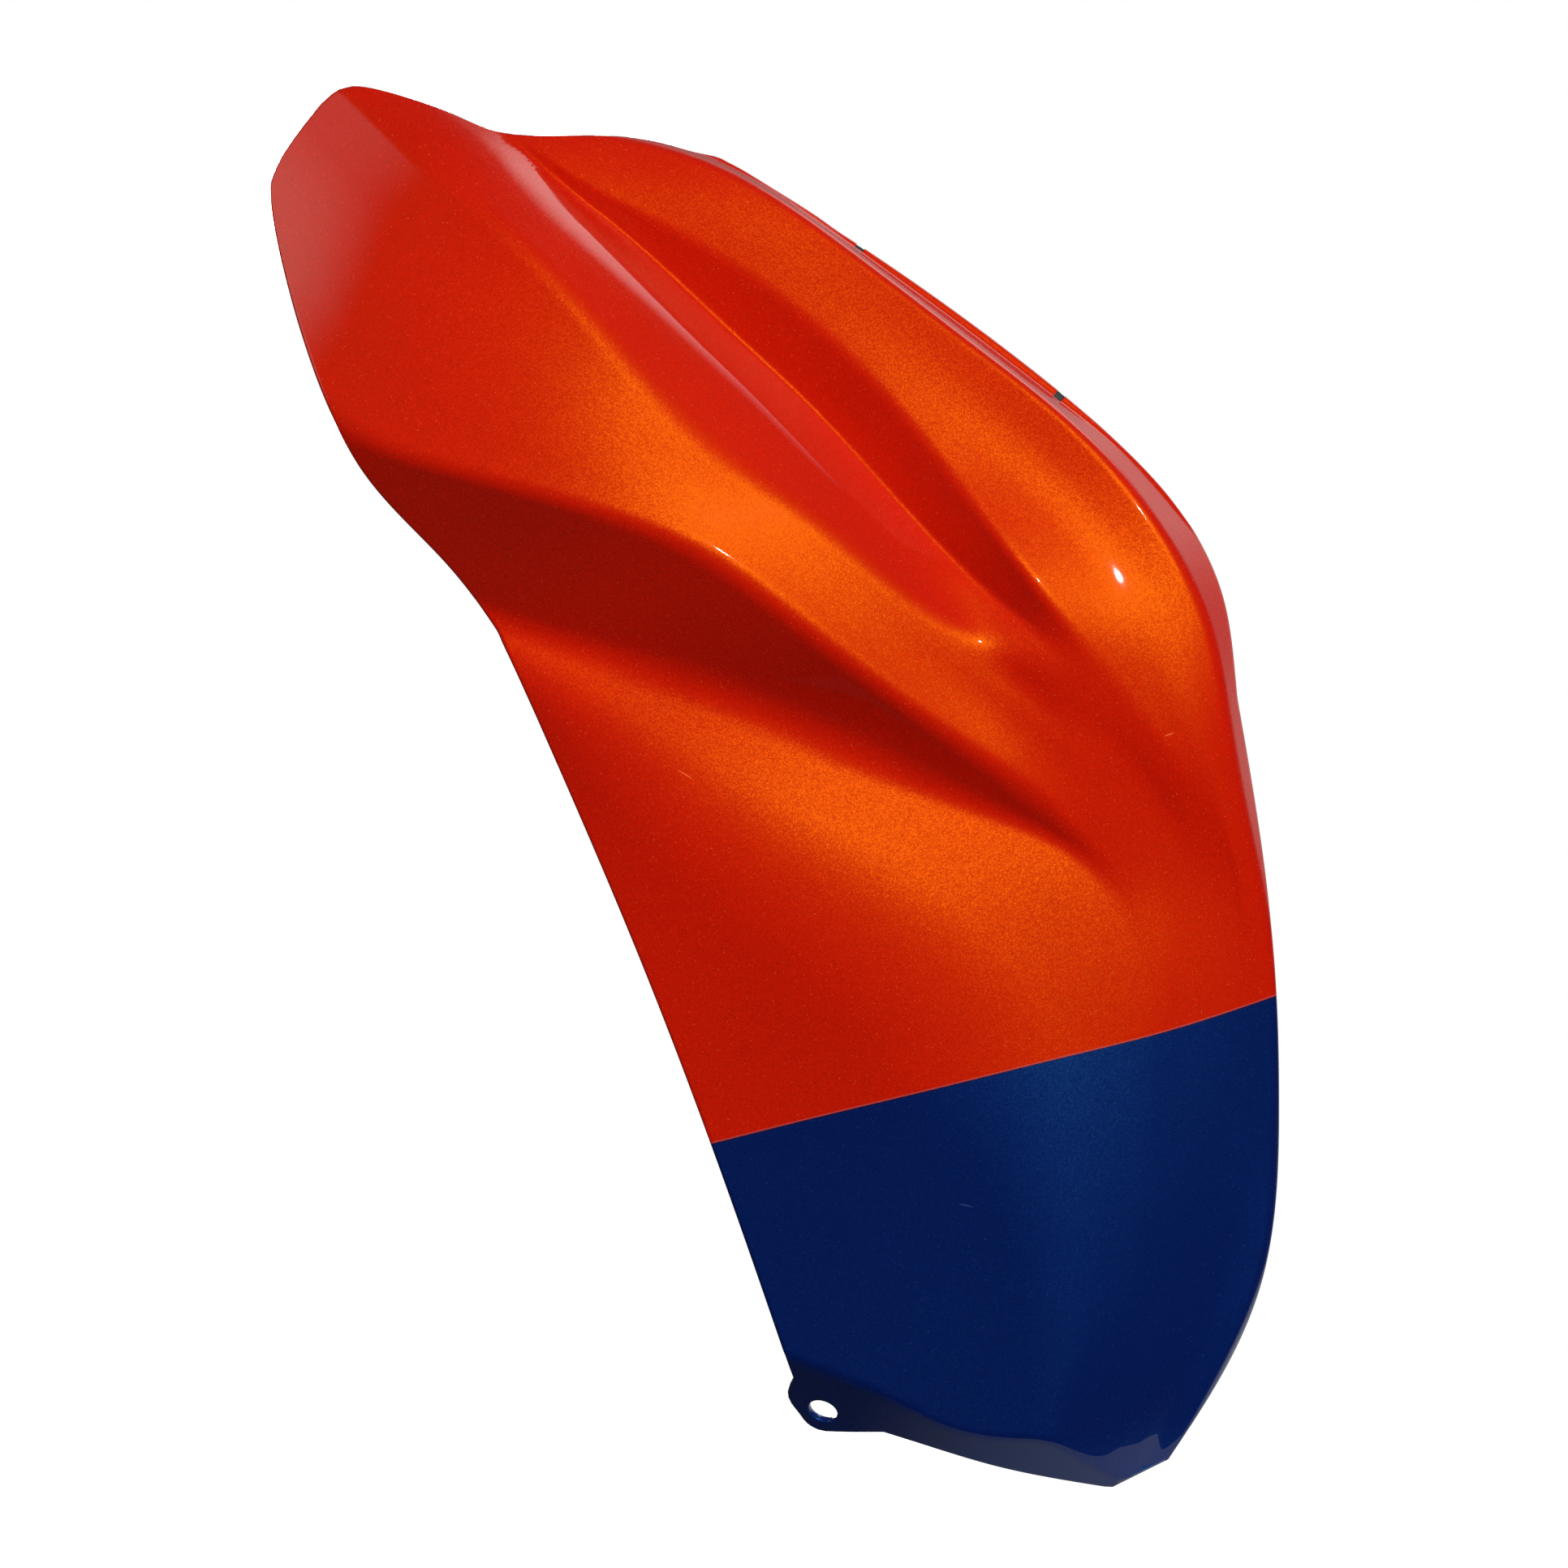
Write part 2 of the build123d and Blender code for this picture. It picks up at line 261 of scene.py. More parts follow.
# %% Outline
edges = [
    [(-187.4, 414.6), (-184.4, 422), (-180, 429), (-173.4, 437.8), (-167.4, 444.4), (-162, 447.4),
     (-155.5, 447.6), (-145.5, 445.4), (-124, 437.8), (-111, 432.5), (-100, 431), (-72.6, 431),
     (-56, 428.8), (-42, 424.7)],
    [(-42, 424.7), (-35, 423.6)],
    [(-35, 423.6), (11.8, 394), (58.4, 361), (86, 339), (109.3, 317.3), (126.3, 295.3),
     (135.6, 273.4), (139, 251.5), (140, 240.5)],
    [(140, 240.5), (149, 185.8), (153.4, 142), (154.5, 103.6), (152.8, 64), (149, 44),
     (128.2, -0.5), (117, -17.5)],
    [(117, -17.5), (99.5, -26.9)],
    [(99.5, -26.9), (95, -26.8)],
    [(95, -26.8), (58, -19.7), (30.7, -11.5), (20, -8.2)],
    [(20, -8.2), (8, -8.3), (-1, -8.1)],
    [(-1, -8.1), (-5.8, -5.4), (-8.8, -1.6), (-11.6, 2.2), (-12.4, 5.4), (-10.5, 10)],
    [(-10.5, 10), (-29.6, 65.2), (-62.7, 153), (-100.3, 240.5), (-110, 262.5)],
    [(-110, 262.5), (-126.8, 284.4), (-147.7, 306.3), (-156.4, 317.3), (-167.7, 339.2),
     (-182.2, 383), (-186.6, 403.5), (-187.4, 411.5), (-187.4, 414.6)],
]
edge_round = 1.2
edge_count, outline_count = 900, 6000
stride = 8
outline = np.concatenate([batten(edge, edge_count)[:-1] for edge in edges])
closed = np.r_[outline, outline[:1]]
walked = np.r_[0, np.cumsum(np.linalg.norm(np.diff(closed, axis=0), axis=1))]
evenly = np.linspace(0, walked[-1], outline_count, endpoint=False)
outline = np.stack([np.interp(evenly, walked, closed[:, axis]) for axis in (0, 1)], -1)
ahead = np.roll(outline, -stride, axis=0) - np.roll(outline, stride, axis=0)
ahead /= np.linalg.norm(ahead, axis=1)[:, None]
inwards = np.stack([ahead[:, 1], -ahead[:, 0]], -1)
near, far = [panel_out(*to_skin(*(outline + step * inwards).T)) for step in (0.5, 1.5)]
inner_outline = outline + inwards * (edge_round / np.hypot(1, near - far))[:, None]
print("outline", outline.min(0).round(1), "to", outline.max(0).round(1), "mm,", round(walked[-1]), "mm round")

# %% [markdown]
# ## Rows that follow the paint line
# A boundary between two paints is only crisp if an edge of the mesh runs along it.  So
# the grid's rows are stations that bend near the paint line until one of them lies on it.
# Cutting the line in with a boolean would work too, but it leaves long thin faces that
# spoil the reflections on either side.

# %% Rows that follow the paint line
paint_count = 3000
paint_line = batten([(-70, 82), (-36.5, 90.4), (-4, 98.6), (37, 108.5), (78, 118.6), (116.4, 128.2),
                     (152, 139.7), (190, 153)], paint_count)
paint_station, paint_across = to_skin(paint_line[:, 0], paint_line[:, 1])
paint_row = 480.0
paint_reach = 62.0


def to_row(station, across):
    """The row that a point lies on, found by correcting a first guess until it settles."""
    lift = np.interp(across, paint_across, paint_station) - paint_row
    row = station.copy()
    for _ in range(60):
        row = station - lift * np.exp(-((row - paint_row) / paint_reach)**2)
    return row


def from_row(row, across):
    """The station of a point on a row."""
    lift = np.interp(across, paint_across, paint_station) - paint_row
    return row + lift * np.exp(-((row - paint_row) / paint_reach)**2)


rim_station, rim_across = to_skin(inner_outline[:, 0], inner_outline[:, 1])
rim_row = to_row(rim_station, rim_across)
row_margin = 0.05
low, high = rim_row.min() + row_margin, rim_row.max() - row_margin
# Where each stretch of rows starts and how far apart its rows lie, mm
stretches = [(low, 1.2), (110, 2.0), (400, 2.2), (520, 1.3)]
ends = [start for start, _ in stretches[1:]] + [high]
spaced = np.concatenate([np.arange(start, end, step) for (start, step), end in zip(stretches, ends)])
paint_clear = 1.2
rows = np.unique(np.r_[spaced[np.abs(spaced - paint_row) > paint_clear], paint_row, high])
# The inner face takes every second row, so their number has to be odd
if len(rows) % 2 == 0:
    rows = np.sort(np.r_[rows, (rows[10] + rows[11]) / 2])
print(len(rows), "rows")

# %% [markdown]
# ## Columns that crowd the folds
# Along each row the columns stand close together at the tight folds and at both edges,
# and wide apart on the broad faces.  A modeller places edge loops in the same way, and it
# keeps the mesh light without softening a fold.

# %% Columns that crowd the folds
first, last = np.argmin(rim_row), np.argmax(rim_row)
count = len(rim_row)
right_side = (first + np.arange((last - first) % count + 1)) % count
left_side = (first - np.arange((first - last) % count + 1)) % count


def side(which):
    """Across at every row, along one side of the outline."""
    row, across = rim_row[which], rim_across[which]
    rising = np.r_[True, row[1:] > np.maximum.accumulate(row)[:-1]]
    return np.interp(rows, row[rising], across[rising])


columns = 201
samples = 1200
edge_pull, left_spread, right_spread = 2, 4, 3
# How strongly each fold draws columns in, from the belly to the wall's foot, and how far off, mm
pull = [0.15, 1.2, 1.6, 0.1, 1.6, 0.2, 1.6, 1.3, 0.1, 3.0, 3.0]
spread = [15, 8, 7, 15, 7, 12, 5, 7, 15, 3.5, 3]
folds = [np.interp(rows, to_row(line[:, 0], line[:, 1]), line[:, 1]) for line in drawn[1:-1]]
from_left, from_right = side(left_side), side(right_side)
grid_across = np.empty((len(rows), columns))
for j in range(len(rows)):
    fine = np.linspace(from_left[j], from_right[j], samples)
    density = 1 + edge_pull * np.exp(-((fine - from_left[j]) / left_spread)**2)
    density += edge_pull * np.exp(-((fine - from_right[j]) / right_spread)**2)
    for fold, strength, width in zip(folds, pull, spread):
        density += strength * np.exp(-((fine - fold[j]) / width)**2)
    total = np.r_[0, np.cumsum((density[1:] + density[:-1]) / 2)]
    grid_across[j] = np.interp(np.linspace(0, total[-1], columns), total, fine)
grid_row = np.repeat(rows[:, None], columns, 1)
grid_station = from_row(grid_row, grid_across)
print("grid of", grid_across.shape, "points")

# %% [markdown]
# ## Outer face
# Every grid point now gets its height, and the way the skin faces there.  The facing is
# measured from the heights just beside the point, as a finger feels a slope.

# %% Outer face
def surface(station, across):
    """Points of the outer face and the directions it faces, mm."""
    d = 0.05
    out = panel_out(station, across)
    by_station = (panel_out(station + d, across) - panel_out(station - d, across)) / (2 * d)
    by_across = (panel_out(station, across + d) - panel_out(station, across - d)) / (2 * d)
    x, z = to_plan(station, across)
    slope_x = by_station * math.sin(lean) + by_across * math.cos(lean)
    slope_z = -by_station * math.cos(lean) + by_across * math.sin(lean)
    facing = np.stack([-slope_x, -np.ones_like(out), -slope_z], -1)
    facing /= np.linalg.norm(facing, axis=-1)[..., None]
    return np.stack([x, -out, z], -1), facing


point, facing = surface(grid_station, grid_across)
print("outer face", point.min((0, 1)).round(1), "to", point.max((0, 1)).round(1), "mm")

# %% [markdown]
# ## Rounded edge and inner face
# The moulding is 2.5 mm thick all over.  Its edge is rounded over in front, runs straight
# back, and has a fine chamfer behind.  The inner face repeats the outer one a wall
# further in, with half as many rows and columns, because bare plastic hides far more than
# gloss does.  A Solidify modifier would double the whole grid and cannot round the edge.

# %% Rounded edge and inner face
index = np.arange(grid_row.size).reshape(grid_row.shape)
loop = np.concatenate([index[0, :], index[1:, -1], index[-1, -2::-1], index[-2:0:-1, 0]])
flat_point, flat_facing, flat_row = point.reshape(-1, 3), facing.reshape(-1, 3), grid_row.ravel()
rim_point, rim_facing = flat_point[loop], flat_facing[loop]
outward = np.cross(np.roll(rim_point, -1, 0) - np.roll(rim_point, 1, 0), rim_facing)
outward /= np.linalg.norm(outward, axis=1)[:, None]
outward *= np.sign(np.mean(np.sum(outward * (rim_point - rim_point.mean(0)), 1)))
for _ in range(3):
    outward = outward + np.roll(outward, 1, 0) + np.roll(outward, -1, 0)
    outward /= np.linalg.norm(outward, axis=1)[:, None]

back_chamfer = 0.3
turns = np.radians([22.5, 45, 67.5, 90])
profile = [(edge_round * math.sin(turn), edge_round * (1 - math.cos(turn))) for turn in turns]
profile += [(edge_round, wall - back_chamfer), (edge_round - back_chamfer, wall)]
rings = [rim_point + outward * out - rim_facing * back for out, back in profile]
inner = point[::2, ::2] - facing[::2, ::2] * wall
print(len(loop), "points round the edge,", inner.shape[0] * inner.shape[1], "on the inner face")

# %% [markdown]
# ## One closed mesh
# Outer grid, edge rings and inner grid are sewn into a single closed mesh.  Where the
# fine edge meets the coarse inner face, three triangles span every two steps.  Each face
# is given the number of its finish here, and the finishes themselves follow later.

# %% One closed mesh
ORANGE, BLUE, BARE = 0, 1, 2


def quads(corners):
    """The faces of a grid of point numbers."""
    around = [corners[:-1, :-1], corners[:-1, 1:], corners[1:, 1:], corners[1:, :-1]]
    return np.stack(around, -1).reshape(-1, 4)


def band(near, far):
    """The faces between two closed rings of point numbers."""
    return np.stack([near, far, np.roll(far, -1), np.roll(near, -1)], -1)


points = np.concatenate([flat_point, *rings, inner.reshape(-1, 3)]) * MM
ring_index = [loop] + [grid_row.size + len(loop) * k + np.arange(len(loop)) for k in range(len(rings))]
inner_index = grid_row.size + len(loop) * len(rings) + np.arange(inner.shape[0] * inner.shape[1])
inner_index = inner_index.reshape(inner.shape[:2])
inner_loop = np.concatenate([inner_index[0, :], inner_index[1:, -1], inner_index[-1, -2::-1],
                             inner_index[-2:0:-1, 0]])
p0, p1, p2 = ring_index[-1][::2], ring_index[-1][1::2], np.roll(ring_index[-1], -2)[::2]
c0, c1 = inner_loop, np.roll(inner_loop, -1)
sewing = np.concatenate([np.stack(three, -1) for three in ((p0, c0, p1), (p1, c0, c1), (p1, c1, p2))])

outer_faces = quads(index)
edge_faces = np.concatenate([band(near, far) for near, far in zip(ring_index, ring_index[1:])])
inner_faces = quads(inner_index)[:, ::-1]
row_of = np.concatenate([flat_row, *[flat_row[loop]] * len(rings)])
painted = [np.where(row_of[faces].mean(1) > paint_row, BLUE, ORANGE) for faces in (outer_faces, edge_faces)]
finish_of = np.concatenate(painted + [np.full(len(inner_faces) + len(sewing), BARE)])

skin_mesh = bpy.data.meshes.new("fairing_skin")
skin_mesh.from_pydata(points.tolist(), [], outer_faces.tolist() + edge_faces.tolist() + inner_faces.tolist()
                      + sewing.tolist())
skin_mesh.polygons.foreach_set("material_index", finish_of)
fairing_skin = bpy.data.objects.new("fairing_skin", skin_mesh)
bpy.context.scene.collection.objects.link(fairing_skin)
print(len(skin_mesh.polygons), "faces")

# %% [markdown]
# ## Nodes in one line
# Every finish below is a small network of nodes.  One helper adds a node, changes its
# settings, and fills its inputs: a number is typed in, and a socket is joined with a link.

# %% Nodes in one line
def add(tree, kind, values=None, **settings):
    """A new node of a kind, with its settings, and its inputs typed in or linked."""
    node = tree.nodes.new(kind)
    for name, setting in settings.items():
        setattr(node, name, setting)
    for place, value in (values or {}).items():
        if isinstance(value, bpy.types.NodeSocket):
            tree.links.new(value, node.inputs[place])
        else:
            node.inputs[place].default_value = value
    return node


def new_material(name):
    """A material with its tree, its shader and the Object coordinates of what it covers."""
    material = bpy.data.materials.new(name)
    material.use_nodes = True
    tree = material.node_tree
    place = add(tree, "ShaderNodeTexCoord").outputs["Object"]
    return material, tree, tree.nodes["Principled BSDF"], place


print("node helpers ready")

# %% [markdown]
# ## Scuffs
# A panel that has been handled carries a few short scuffs, where the clear lacquer is
# scraped and scatters light.  A scuff is one stretched spot: a Mapping node turns and
# squeezes the coordinates until the scuff is a circle of radius one, and the distance
# from its middle fades it out.

# %% Scuffs
# X and Z of the middle, turn, half length and half width, mm and degrees
scuffs = [(-46.7, 214.7, -31, 3.6, 0.28), (116.4, 228.2, 20, 2.2, 0.3), (47.9, 69.3, -12, 3.0, 0.3)]


def scuff_mask(tree, place):
    """1 on the scuffs and 0 elsewhere."""
    mask = None
    for x, z, turn, long, wide in scuffs:
        local = add(tree, "ShaderNodeMapping", {"Vector": place, "Location": (x * MM, 0, z * MM),
                    "Rotation": (0, -math.radians(turn), 0), "Scale": (long * MM, 1, wide * MM)},
                    vector_type="TEXTURE")
        flat = add(tree, "ShaderNodeVectorMath", {0: local.outputs[0], 1: (1, 0, 1)}, operation="MULTIPLY")
        away = add(tree, "ShaderNodeVectorMath", {0: flat.outputs[0]}, operation="LENGTH")
        spot = add(tree, "ShaderNodeMapRange", {"Value": away.outputs["Value"], "From Min": 1.0,
                                                "From Max": 0.5}).outputs[0]
        mask = spot if mask is None else add(tree, "ShaderNodeMath", {0: mask, 1: spot},
                                             operation="MAXIMUM").outputs[0]
    return mask


print(len(scuffs), "scuffs")

# %% [markdown]
# ## Flakes
# Metallic paint is a coloured layer full of tiny aluminium flakes.  Each flake lies at its
# own slight tilt and has its own shade, and a few catch the light and sparkle; those
# sparkles are painted glints, pale spots in the colour.  Flakes as geometry would take
# millions of faces.  A texture of cells does it with one node: each cell has one random
# colour, which serves as shade, as painted glint and as tilt.

# %% Flakes
flake_size = 0.36 * MM
flake_tilt = 0.12
flake_shade = (0.88, 1.12)
# A few flakes get a painted glint: pale spots mixed into the colour
glint_cells_from = 0.985
painted_glint_strength = 0.5


def flaked_colour(tree, cells, slow, colour, glint_and_scuff_colour):
    """The paint's colour, shaded flake by flake, with a few painted glints as pale spots."""
    own = add(tree, "ShaderNodeSeparateXYZ", {0: cells}).outputs
    shade = add(tree, "ShaderNodeMapRange", {"Value": own[0], "To Min": flake_shade[0],
                                             "To Max": flake_shade[1]})
    drift = add(tree, "ShaderNodeMapRange", {"Value": slow, "From Min": 0.3, "From Max": 0.7,
                                             "To Min": 0.95, "To Max": 1.05})
    both = add(tree, "ShaderNodeMath", {0: shade.outputs[0], 1: drift.outputs[0]}, operation="MULTIPLY")
    flaked = add(tree, "ShaderNodeVectorMath", {0: colour, "Scale": both.outputs[0]}, operation="SCALE")
    # Painted glints: the few cells above the threshold are mixed towards the pale colour
    painted_glint = add(tree, "ShaderNodeMapRange", {"Value": own[1], "From Min": glint_cells_from,
                                               "To Max": painted_glint_strength})
    return add(tree, "ShaderNodeMix", {0: painted_glint.outputs[0], 6: flaked.outputs[0], 7: (*glint_and_scuff_colour, 1)},
               data_type="RGBA").outputs[2]


def flake_facing(tree, cells):
    """The direction that each flake faces, tipped a little off the skin's own."""
    centred = add(tree, "ShaderNodeVectorMath", {0: cells, 1: (0.5, 0.5, 0.5)}, operation="SUBTRACT")
    tilt = add(tree, "ShaderNodeVectorMath", {0: centred.outputs[0], "Scale": flake_tilt}, operation="SCALE")
    lying = add(tree, "ShaderNodeNewGeometry").outputs["Normal"]
    tipped = add(tree, "ShaderNodeVectorMath", {0: lying, 1: tilt.outputs[0]}, operation="ADD")
    return add(tree, "ShaderNodeVectorMath", {0: tipped.outputs[0]}, operation="NORMALIZE").outputs[0]


print("flakes of", round(flake_size / MM, 2), "mm")

# %% [markdown]
# ## Metallic paint
# Because the flakes lie nearly flat, the paint flares up where it mirrors the lamp and
# falls away to a deep shade elsewhere, and the clear lacquer over them adds a second,
# sharp reflection.  A Metallic value of 1 would lose the deep shade, so the shader is a
# dark base with a strongly tinted specular lobe for the flakes, and its coat is the
# lacquer.  A slow noise keeps the big faces from looking printed.  Along the paint line
# the paint step has a painted highlight on the orange and painted shade on the blue.

# %% Metallic paint
# How strongly the painted highlight and painted shade of the paint step show beside the paint line
step_light_shade_strength = 0.6


def metallic_paint(name, colour, flake_colour, glint_and_scuff_colour, step_light_shade_colour, step_band_from, step_band_to):
    """A paint of a colour, with its flakes, its scuffs, the painted highlight or painted shade along its
    paint step, and its lacquer.
    """
    material, tree, shader, place = new_material(name)
    cells = add(tree, "ShaderNodeTexVoronoi", {"Vector": place, "Scale": 1 / flake_size}).outputs["Color"]
    slow = add(tree, "ShaderNodeTexNoise", {"Vector": place, "Scale": 11.0, "Detail": 3.0}).outputs[0]
    gap = add(tree, "ShaderNodeAttribute", attribute_name="paint_gap").outputs["Fac"]
    # The paint step, in a band beside the paint line: a painted highlight on the orange, painted shade on the
    # blue
    step_light_shade = add(tree, "ShaderNodeMapRange", {"Value": gap, "From Min": step_band_from, "From Max": step_band_to,
                                            "To Max": step_light_shade_strength})
    step_lit_shaded = add(tree, "ShaderNodeMix", {0: step_light_shade.outputs[0], 6: flaked_colour(tree, cells, slow, colour, glint_and_scuff_colour),
                                        7: (*step_light_shade_colour, 1)}, data_type="RGBA")
    worn = add(tree, "ShaderNodeMix", {0: scuff_mask(tree, place), 6: step_lit_shaded.outputs[2], 7: (*glint_and_scuff_colour, 1)},
               data_type="RGBA")
    tree.links.new(worn.outputs[2], shader.inputs["Base Color"])
    tree.links.new(flake_facing(tree, cells), shader.inputs["Normal"])
    rough = add(tree, "ShaderNodeMapRange", {"Value": slow, "From Min": 0.3, "From Max": 0.7,
                                             "To Min": 0.39, "To Max": 0.42})
    tree.links.new(rough.outputs[0], shader.inputs["Roughness"])

    peel = add(tree, "ShaderNodeTexNoise", {"Vector": place, "Scale": 160.0, "Detail": 0.0})
    lacquer = add(tree, "ShaderNodeBump", {"Height": peel.outputs[0], "Strength": 0.01, "Distance": 0.001})
    tree.links.new(lacquer.outputs[0], shader.inputs["Coat Normal"])
    shader.inputs["IOR"].default_value = 1.6
    shader.inputs["Specular Tint"].default_value = (*flake_colour, 1)
    shader.inputs["Coat Weight"].default_value = 1.0
    shader.inputs["Coat Roughness"].default_value = 0.02
    return material


# Each paint: its colour, its flakes' tint, the pale colour of its painted glints and scuffs, the colour of
# its paint step band (a painted highlight on the orange, painted shade on the blue), and where that band
# lies, mm
orange_paint = metallic_paint("orange_paint", (0.62, 0.007, 0.0006), (1.0, 0.30, 0.004), (0.9, 0.12, 0.03),
                              (0.5, 0.08, 0.085), -0.6, -0.45)
blue_paint = metallic_paint("blue_paint", (0.0008, 0.008, 0.092), (0.05, 0.36, 1.0), (0.02, 0.05, 0.2),
                            (0.02, 0.001, 0.004), 0.6, 0.45)
print("paints:", orange_paint.name, blue_paint.name)

# %% [markdown]
# ## Mist of paint
# When the front is sprayed, a mist of paint creeps round the edge and dies out within a
# finger's width.  It could be painted by hand on a picture, but a distance from the edge
# that is stored on the mesh, broken up by noise, gives the same and fits any change of
# shape.

# %% Mist of paint
mist_width = 14.0
orange_mist, blue_mist = (0.42, 0.012, 0.002, 1), (0.002, 0.012, 0.08, 1)


def misted(tree, place, bare):
    """A bare colour with a mist of paint over it near the panel's edge."""
    rim_gap = add(tree, "ShaderNodeAttribute", attribute_name="rim_gap").outputs["Fac"]
    mist = add(tree, "ShaderNodeMapRange", {"Value": rim_gap, "From Min": mist_width, "From Max": 0.0})
    specks = add(tree, "ShaderNodeTexNoise", {"Vector": place, "Scale": 900.0, "Detail": 2.0})
    settled = add(tree, "ShaderNodeMath", {0: mist.outputs[0], 1: specks.outputs[0]}, operation="ADD")
    covered = add(tree, "ShaderNodeMapRange", {"Value": settled.outputs[0], "From Min": 0.75,
                                               "From Max": 1.45, "To Max": 0.85})
    gap = add(tree, "ShaderNodeAttribute", attribute_name="paint_gap").outputs["Fac"]
    below = add(tree, "ShaderNodeMapRange", {"Value": gap, "From Min": -4.0, "From Max": 4.0})
    colour = add(tree, "ShaderNodeMix", {0: below.outputs[0], 6: orange_mist, 7: blue_mist},
                 data_type="RGBA")
    return add(tree, "ShaderNodeMix", {0: covered.outputs[0], 6: bare, 7: colour.outputs[2]},
               data_type="RGBA").outputs[2]


print("mist", mist_width, "mm wide")

# %% [markdown]
# ## Bare plastic
# The back of such a panel is left as it comes from the mould: dark plastic with a fine
# grain.  Noise at two sizes is enough for it, a broad one that shifts the shade and the
# dullness, and a very fine one that works as a bump.

# %% Bare plastic
bare_plastic, tree, shader, place = new_material("bare_plastic")
patch = add(tree, "ShaderNodeTexNoise", {"Vector": place, "Scale": 60.0, "Detail": 4.0}).outputs[0]
patch_shade = add(tree, "ShaderNodeMapRange", {"Value": patch, "From Min": 0.3, "From Max": 0.7,
                                               "To Min": 0.8, "To Max": 1.2})
dark = add(tree, "ShaderNodeVectorMath", {0: (0.028, 0.028, 0.029), "Scale": patch_shade.outputs[0]},
           operation="SCALE")
tree.links.new(misted(tree, place, dark.outputs[0]), shader.inputs["Base Color"])
grain = add(tree, "ShaderNodeTexNoise", {"Vector": place, "Scale": 1400.0, "Detail": 2.0})
grained = add(tree, "ShaderNodeBump", {"Height": grain.outputs[0], "Strength": 0.35, "Distance": 0.0003})
tree.links.new(grained.outputs[0], shader.inputs["Normal"])
dull = add(tree, "ShaderNodeMapRange", {"Value": patch, "To Min": 0.45, "To Max": 0.65})
tree.links.new(dull.outputs[0], shader.inputs["Roughness"])
shader.inputs["Specular IOR Level"].default_value = 0.25
finishes = [orange_paint, blue_paint, bare_plastic]
for material in finishes:
    skin_mesh.materials.append(material)
print("finishes on the skin:", [material.name for material in skin_mesh.materials])

# %% [markdown]
# ## Bore
# The tab has a bore for its fixing, with a softly flared mouth.  A plain cylinder could
# be cut out and its edge bevelled, but here the cutter is a profile turned about the
# tab's own axis, so that the flare comes out of the cut as true geometry.

# %% Bore
# Height along the tab's axis and radius, from behind to in front, mm
bore_profile = [(-6, 5.3), (-1.25, 5.2), (-1.0, 5.0), (0.2, 5.0), (0.55, 5.04), (0.85, 5.14), (1.08, 5.32),
                (1.25, 5.6), (6, 6.5)]
bore_sides = 72

cutters = bmesh.new()
upright = Vector(tab_normal).to_track_quat("Z", "Y").to_matrix()
turned = []
for height, radius in bore_profile:
    ring = []
    for k in range(bore_sides):
        angle = 2 * math.pi * k / bore_sides
        corner = Vector((radius * math.cos(angle), radius * math.sin(angle), height))
        ring.append(cutters.verts.new(upright @ corner * MM))
    turned.append(ring)
for ring, after in zip(turned, turned[1:]):
    for k in range(bore_sides):
        cutters.faces.new((ring[k - 1], ring[k], after[k], after[k - 1]))
for ring in (turned[0], turned[-1]):
    cutters.faces.new(ring)
for face in cutters.faces:
    face.material_index = BLUE
print("bore cutter:", len(cutters.faces), "faces")

# %% [markdown]
# ## Notches
# The joint flange has two small square notches, such as key a panel to its neighbour.
# Here they are shallow pockets in its ledge, with dark bare plastic inside as painted
# shade.  A dark square in the paint would look right from the front alone, so each is
# cut with a small box, set to its depth below the skin.

# %% Notches
# X and Z of the middle and turn, mm and degrees
notches = [(12.6, 393.2, -33), (79.6, 342.6, -38)]
notch_size = (3.2, 6.0, 3.0)
notch_depth = 1.9

for x, z, turn in notches:
    in_front = -float(panel_out(*[np.array([measure]) for measure in to_skin(x, z)])[0])
    middle = in_front + notch_depth - notch_size[1] / 2
    matrix = (Matrix.Translation((x * MM, middle * MM, z * MM)) @ Matrix.Rotation(-math.radians(turn), 4, "Y")
              @ Matrix.Diagonal((*[length * MM for length in notch_size], 1)))
    corners = bmesh.ops.create_cube(cutters, size=1, matrix=matrix)["verts"]
    for face in {face for corner in corners for face in corner.link_faces}:
        # The pocket gets dark bare plastic, as painted shade inside it
        face.material_index = BARE
print(len(notches), "notches,", notch_depth, "mm deep")

# %% [markdown]
# ## Cut
# Bore and notches are taken out of the skin with one boolean.  The faces that it leaves
# keep the finish of the cutter they come from.  The result is kept as a plain mesh, shaded
# smooth, with true edges wherever two faces meet at more than forty degrees.

# %% Cut
def kept_mesh(item, name, sharp_angle):
    """The mesh that an object's modifiers give, kept in place of its first one."""
    mesh = bpy.data.meshes.new_from_object(item.evaluated_get(bpy.context.evaluated_depsgraph_get()))
    first_mesh = item.data
    item.modifiers.clear()
    item.data = mesh
    bpy.data.meshes.remove(first_mesh)
    mesh.name = name
    mesh.shade_smooth()
    mesh.set_sharp_from_angle(angle=math.radians(sharp_angle))
    return mesh


bmesh.ops.recalc_face_normals(cutters, faces=cutters.faces)
cutter_mesh = bpy.data.meshes.new("cutters")
cutters.to_mesh(cutter_mesh)
cutters.free()
for material in finishes:
    cutter_mesh.materials.append(material)
cutter = bpy.data.objects.new("cutters", cutter_mesh)
bpy.context.scene.collection.objects.link(cutter)
cut = fairing_skin.modifiers.new("cut", "BOOLEAN")
cut.operation = "DIFFERENCE"
cut.solver = "MANIFOLD"
cut.object = cutter
cut_mesh = kept_mesh(fairing_skin, "fairing_skin", 40)
bpy.data.meshes.remove(cutter_mesh)
print(len(cut_mesh.polygons), "faces after the cut,", [material.name for material in cut_mesh.materials])

